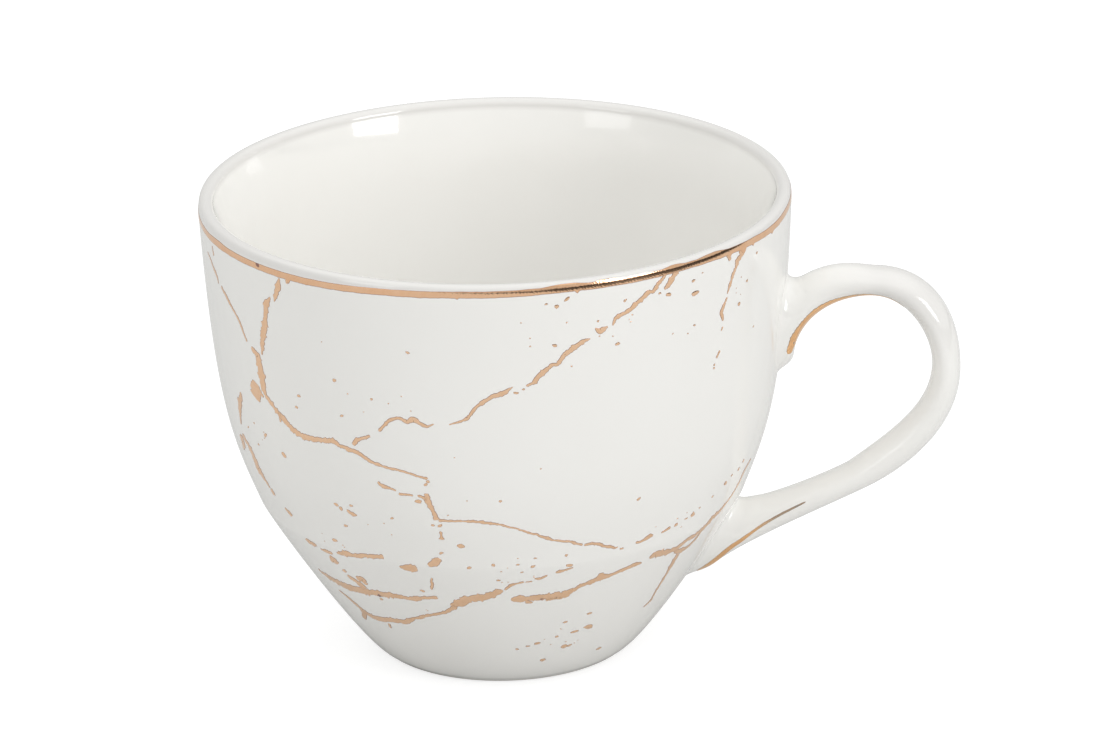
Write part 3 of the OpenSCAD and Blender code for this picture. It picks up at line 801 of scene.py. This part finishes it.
# Grains of gold between the veins: each is (azimuth, height, size).
SPECKS = [
    (-100, 37, 0.9), (-96, 33, 0.7), (-97.5, 33, 0.5), (-96.5, 28, 0.6), (-97.5, 40.5, 0.6),
    (-98, 40, 0.6), (-103.5, 20, 0.7), (-106.5, 33.5, 0.5), (-120, 34, 0.8), (-119, 33.5, 0.7),
    (-116, 34.5, 0.5), (-119, 30.5, 0.6), (-124, 27, 0.9), (-118, 16.5, 0.6), (-92, 29.5, 1.0),
    (-90.5, 25.5, 0.7), (-85, 26, 0.6), (-84, 23, 0.5), (-79.5, 26, 0.4), (-78.5, 24.5, 0.4),
    (-75.5, 27, 0.4), (-76, 25.5, 0.6), (-68.5, 27, 0.5), (-67.5, 25, 0.9), (-58, 14, 0.8),
    (-65, 13, 0.6), (-56.5, 11, 1.4), (-61, 10.5, 1.0), (-66.5, 10, 0.6), (-72.5, 9, 0.8),
    (-75.5, 8.5, 0.5), (-79, 8, 0.5), (-63, 7.5, 1.1), (-61, 7.5, 0.7), (-47, 5, 0.9),
    (-69.5, 5, 0.8), (-83, 37.5, 0.5), (-53, 35, 0.6), (-79.5, 55, 0.6), (-78, 55.5, 0.4),
    (-73.5, 68.5, 0.4), (-71.5, 68, 0.7), (-69.5, 69, 0.7), (-72, 62, 0.6), (-63.5, 65, 0.4),
    (-59.5, 61, 0.6), (-58, 67.5, 0.5), (-50.5, 67.5, 0.5), (-48.5, 67, 0.8), (-42.5, 68, 0.6),
    (-42, 66, 1.1), (-42, 61, 0.4), (-23, 68, 0.5), (-26.5, 64.5, 0.5), (-29, 61.5, 0.7),
    (-23, 56.5, 0.4), (-36, 53.5, 0.4), (-36, 53, 0.4), (-100, 61, 0.5), (-116, 55, 0.6),
    (-125.5, 51, 0.6), (-126.5, 49, 0.6), (-108, 53, 0.4), (-115, 49.5, 0.5), (-133, 40, 1.0),
    (-142.5, 39.5, 0.5), (-138.5, 42, 0.8), (-142.5, 43, 0.4), (-146, 41.5, 0.5), (-33.5, 29.5, 0.4),
    (-29.5, 30.5, 0.5), (-23, 32.5, 0.5)]
# Sprays of the finest grains: each is (azimuth, height, half spread in degrees, in mm, count).
SPRAYS = [(-79, 25, 6, 2.5, 7), (-125, 27, 4, 1.5, 4), (-104, 16, 3, 0.6, 2), (-108, 31, 7, 2.5, 3),
          (-64, 9, 9, 3, 6), (-72, 61, 8, 5, 6), (-60, 64.5, 5, 2.5, 5), (-44, 64, 4, 5, 3),
          (-27, 60, 4, 6, 4), (-113, 57, 6, 7, 3), (-101, 53, 6, 2, 3), (-141, 42, 5, 2.5, 3),
          (-38, 28.5, 10, 1.5, 4),
          (-80, 41, 14, 7, 4)]
SPRAY_SIZE = (0.18, 0.30)
BACK_TURN = 180


def make_veins(name, node, groups, turn=0.0, seed=0):
    """A group of veins as one piece."""
    pieces = Pieces()
    for k, vein in enumerate(groups):
        add_vein(pieces, vein, seed + k * 3.7, turn)
    place(pieces.make(name, VEIN_GOLD), node)


def make_specks(name, node, turn, seed):
    """The single grains and the sprays of one transfer as one piece."""
    rand = random.Random(seed)
    pieces = Pieces()
    for az, z, size in SPECKS:
        add_speck(pieces, size, az, z, rand, turn)
    for az, z, wide, high, count in SPRAYS:
        for _ in range(count):
            spot = az + rand.uniform(-wide, wide), z + rand.uniform(-high, high)
            add_speck(pieces, rand.uniform(*SPRAY_SIZE), *spot, rand, turn)
    place(pieces.make(name, VEIN_GOLD), node)


make_veins("left_veins", "left_gold_veins", LEFT, seed=10)
make_veins("front_veins", "front_gold_veins", FRONT, seed=60)
make_veins("lower_veins", "lower_gold_veins", LOWER, seed=110)
make_veins("rim_veins", "rim_gold_veins", RIM, seed=160)
make_veins("right_veins", "right_gold_veins", RIGHT, seed=210)
make_veins("back_veins", "back_gold_veins", FRONT + LOWER + RIM + LEFT[3:], BACK_TURN, seed=300)
make_specks("front_specks", "gold_specks", 0, 11)
make_specks("back_specks", "back_gold_specks", BACK_TURN, 12)


# ---- gold lines on the handle ----
# Each row is a place along a line: (section, angle) of its edge nearer the outer side and of its other edge.
# A program turned points on the photograph into these, and they were then rounded and moved.
UPPER_LINE = [(-0.05, 134, 0.4, 146), (0.4, 122, 0.95, 142), (0.8, 112, 1.5, 150), (1.25, 106, 2.1, 155),
              (1.85, 103, 2.8, 157), (2.8, 103, 3.5, 158), (3.8, 105, 4.3, 158), (4.9, 107, 5.2, 158),
              (6.05, 111, 6.3, 158), (7.2, 115, 7.4, 157), (8.5, 118, 8.5, 156), (9.6, 122, 9.6, 156),
              (10.6, 127, 10.6, 156), (11.5, 131, 11.5, 156), (12.5, 137, 12.5, 155), (13.3, 144, 13.3, 151)]
LOWER_LINE = [(33.9, 104, 34, 107), (34.15, 101, 34.4, 108), (35.35, 96, 35.65, 105), (36.25, 89, 36.65, 99),
              (36.75, 81, 37.15, 92), (37.15, 69, 37.75, 85), (37.7, 61, 38.2, 78), (38.35, 32, 38.85, 56),
              (39.4, 17, 39.45, 41), (39.7, 12, 39.7, 36)]
# Sections that the whole fillet of a root stands for, in the lines above.
SLIP_SECTIONS = 3.0
LINE_STEPS = 14
# Places across a line, from one edge to the other, where it has a row of points.
ACROSS = [0, 0.03, 0.07, 0.2, 0.33, 0.45, 0.55, 0.67, 0.8, 0.93, 0.97, 1]


def handle_skin(i, angle):
    """Points on the arm's skin or, past where a slip joint begins, on the joint's."""
    p = arm(i, angle)
    for root in (UPPER_ROOT, LOWER_ROOT):
        t = root.toward * (root.first(angle) - i) / SLIP_SECTIONS
        p = np.where((t > 0)[..., None], root.skin(angle, np.clip(t, 0, 1)), p)
    return p


def make_line(name, node, rows, seed, thin):
    """A painted line along both sides of the arm, whose film thins out between the two sections of thin."""
    p = with_ends(np.array(rows, float))
    steps = (np.arange(LINE_STEPS) / LINE_STEPS)[:, None]
    line = np.concatenate([spline(p, k, steps, 0.5) for k in range(1, len(p) - 2)] + [p[-2:-1]])
    i0, a0, i1, a1 = line.T[..., None]
    n = len(line)
    end = np.minimum(np.arange(n), np.arange(n)[::-1]) / 4
    full = np.clip(0.55 + 0.45 * end, 0, 1)[:, None]
    shake = 0.05 * np.array([[noise.noise(Vector((k * 0.35, seed, side))) for side in (0.5, 8.5)]
                             for k in range(n)])
    f = np.array(ACROSS)[None]
    f = 0.5 + (f - 0.5) * full + shake[:, :1] * (1 - f) + shake[:, 1:] * f
    skin = handle_skin(i0 + (i1 - i0) * f, a0 + (a1 - a0) * f)
    out = unit(np.cross(np.gradient(skin, axis=1), np.gradient(skin, axis=0)))
    lift = np.array([EDGE_LIFT] + [FILM] * (len(ACROSS) - 2) + [EDGE_LIFT])[None, :, None]
    top = skin + out * lift
    under = (skin + out * BURIED)[:, [-1, 0]]
    rings = np.concatenate([top, under], 1)
    burnt = np.array([1.0, 0.7] + [0.0] * (len(ACROSS) - 4) + [0.7, 1.0, 1.0, 1.0])[None]
    worn = np.clip((line[:, :1] - thin[0]) / (thin[1] - thin[0]), 0, 1) * 0.8
    edge = np.maximum(burnt, worn)
    pieces = Pieces()
    pieces.tube(rings, edge)
    pieces.tube((rings * (1, -1, 1))[:, ::-1], edge[:, ::-1])
    place(pieces.make(name, LINE_GOLD), node)


make_line("upper_handle_line", "upper_handle_gilding", UPPER_LINE, 3.1, (12.6, 13.4))
make_line("lower_handle_line", "lower_handle_gilding", LOWER_LINE, 6.4, (36.9, 35.6))


# ---- studio ----
# The turn and the distance were chosen. At that distance, a fit to the cup's outline and gold band in the
# photograph gave the tilt, roll, shift and lens.
VIEW_TURN = math.radians(7)
VIEW_TILT = math.radians(20.4)
VIEW_ROLL = math.radians(-1.3)
VIEW_DISTANCE = 0.980
VIEW_RIGHT = 0.00822
VIEW_DOWN = 0.02748
VIEW_LENS = 216.2
SENSOR = 36
RIM_CENTRE = Vector((0, 0, CUP_H * MM))


def make_camera():
    """The camera stands a little towards the handle from the front and looks down on the cup."""
    right = Vector((math.cos(VIEW_TURN), math.sin(VIEW_TURN), 0))
    level = Vector((-math.sin(VIEW_TURN), math.cos(VIEW_TURN), 0))
    up = level * math.sin(VIEW_TILT) + Vector((0, 0, math.cos(VIEW_TILT)))
    back = -level * math.cos(VIEW_TILT) + Vector((0, 0, math.sin(VIEW_TILT)))
    across = math.cos(VIEW_ROLL) * right + math.sin(VIEW_ROLL) * up
    upright = -math.sin(VIEW_ROLL) * right + math.cos(VIEW_ROLL) * up
    data = bpy.data.cameras.new("camera")
    data.lens = VIEW_LENS
    data.sensor_width = SENSOR
    cam = bpy.data.objects.new("camera", data)
    bpy.context.scene.collection.objects.link(cam)
    turn = Matrix((across, upright, back)).transposed().to_4x4()
    spot = RIM_CENTRE + back * VIEW_DISTANCE + across * VIEW_RIGHT - upright * VIEW_DOWN
    cam.matrix_world = Matrix.Translation(spot) @ turn
    bpy.context.scene.camera = cam


make_camera()
VIEW_AZ = -90 + math.degrees(VIEW_TURN)
AIM = Vector((0, 0, 0.045))
BOX_DISTANCE = 1.3
BOX_SIZE = (0.46, 0.55)


def softbox(name, az, elevation, power, colour):
    """A soft rectangular light that faces the cup, at an azimuth from the camera's."""
    a, e = math.radians(VIEW_AZ + az), math.radians(elevation)
    light = bpy.data.lights.new(name, "AREA")
    light.shape = "RECTANGLE"
    light.size, light.size_y = BOX_SIZE
    light.energy = power
    light.color = colour
    obj = bpy.data.objects.new(name, light)
    bpy.context.scene.collection.objects.link(obj)
    out = Vector((math.cos(a) * math.cos(e), math.sin(a) * math.cos(e), math.sin(e)))
    obj.location = AIM + out * BOX_DISTANCE
    obj.rotation_euler = out.to_track_quat("Z", "Y").to_euler()


softbox("key", 51, 20, 4.6, (1.0, 1.0, 1.0))
softbox("fill", -49, 20, 1.1, (0.98, 0.99, 1.0))


# The dark side of the room past the table's edge: its azimuth from the camera, its width and its height.
DARK_AZ = 60
DARK_COS = 0.72
TABLE_EDGE = 0.36
DARK_TOP = 0.09
DARK = (0.02, 0.02, 0.02)
TABLE_WHITE = (0.68, 0.68, 0.675)
TABLE_HALF = 4.0
TABLE_DROP = 0.00005
SKY_LOW = (0.635, 0.635, 0.625)
SKY_HIGH = (1.16, 1.165, 1.155)


def dark_side(nodes, links, vector, low, high):
    """1 where a vector points to the dark side, between low and high along its azimuth, and else 0."""
    a = math.radians(VIEW_AZ + DARK_AZ)
    dot = nodes.new("ShaderNodeVectorMath")
    dot.operation = "DOT_PRODUCT"
    dot.inputs[1].default_value = (math.cos(a), math.sin(a), 0)
    links.new(vector, dot.inputs[0])
    return step_between(nodes, links, dot.outputs["Value"], low, high)


def make_world():
    """Soft white surroundings, dark low down on one side, and plain white where the camera sees them."""
    world = bpy.data.worlds.new("studio")
    bpy.context.scene.world = world
    world.use_nodes = True
    nodes, links = world.node_tree.nodes, world.node_tree.links
    soft = nodes["Background"]
    coords = nodes.new("ShaderNodeTexCoord").outputs["Generated"]
    split = nodes.new("ShaderNodeSeparateXYZ")
    links.new(coords, split.inputs["Vector"])
    low = step_between(nodes, links, split.outputs["Z"], DARK_TOP, DARK_TOP * 0.7)
    dark = product(nodes, links, low, dark_side(nodes, links, coords, DARK_COS, DARK_COS + 0.06))
    sky = ramp(nodes, links, split.outputs["Z"], [(0.5, SKY_LOW), (0.85, SKY_HIGH)])
    links.new(mixed(nodes, links, dark, sky, DARK), soft.inputs["Color"])
    bright = nodes.new("ShaderNodeBackground")
    bright.inputs["Color"].default_value = (1, 1, 1, 1)
    bright.inputs["Strength"].default_value = 1.0
    path, mix = nodes.new("ShaderNodeLightPath"), nodes.new("ShaderNodeMixShader")
    links.new(path.outputs["Is Camera Ray"], mix.inputs["Fac"])
    links.new(soft.outputs["Background"], mix.inputs[1])
    links.new(bright.outputs["Background"], mix.inputs[2])
    links.new(mix.outputs["Shader"], nodes["World Output"].inputs["Surface"])


make_world()


def make_floor():
    """A plain table, white but for soft shadows to the camera, with a dark side for reflections."""
    mat = bpy.data.materials.new("floor")
    mat.use_nodes = True
    nodes, links = mat.node_tree.nodes, mat.node_tree.links
    plain = nodes["Principled BSDF"]
    coords = nodes.new("ShaderNodeTexCoord").outputs["Object"]
    past_edge = dark_side(nodes, links, coords, TABLE_EDGE, TABLE_EDGE + 0.01)
    links.new(mixed(nodes, links, past_edge, TABLE_WHITE, DARK), plain.inputs["Base Color"])
    plain.inputs["Roughness"].default_value = 0.7
    plain.inputs["Specular IOR Level"].default_value = 0.2
    white = nodes.new("ShaderNodeEmission")
    white.inputs["Strength"].default_value = 0.75
    part_lit = nodes.new("ShaderNodeBsdfDiffuse")
    part_lit.inputs["Color"].default_value = (0.38, 0.38, 0.38, 1)
    seen, mix = nodes.new("ShaderNodeAddShader"), nodes.new("ShaderNodeMixShader")
    links.new(part_lit.outputs["BSDF"], seen.inputs[0])
    links.new(white.outputs["Emission"], seen.inputs[1])
    path = nodes.new("ShaderNodeLightPath")
    links.new(path.outputs["Is Camera Ray"], mix.inputs["Fac"])
    links.new(plain.outputs["BSDF"], mix.inputs[1])
    links.new(seen.outputs["Shader"], mix.inputs[2])
    links.new(mix.outputs["Shader"], nodes["Material Output"].inputs["Surface"])
    mesh = bpy.data.meshes.new("table")
    h = TABLE_HALF
    mesh.from_pydata([(-h, -h, 0), (h, -h, 0), (h, h, 0), (-h, h, 0)], [], [(0, 1, 2, 3)])
    mesh.materials.append(mat)
    table = bpy.data.objects.new("table", mesh)
    bpy.context.scene.collection.objects.link(table)
    table.location.z = -TABLE_DROP


make_floor()
bpy.context.scene.view_settings.view_transform = "Standard"
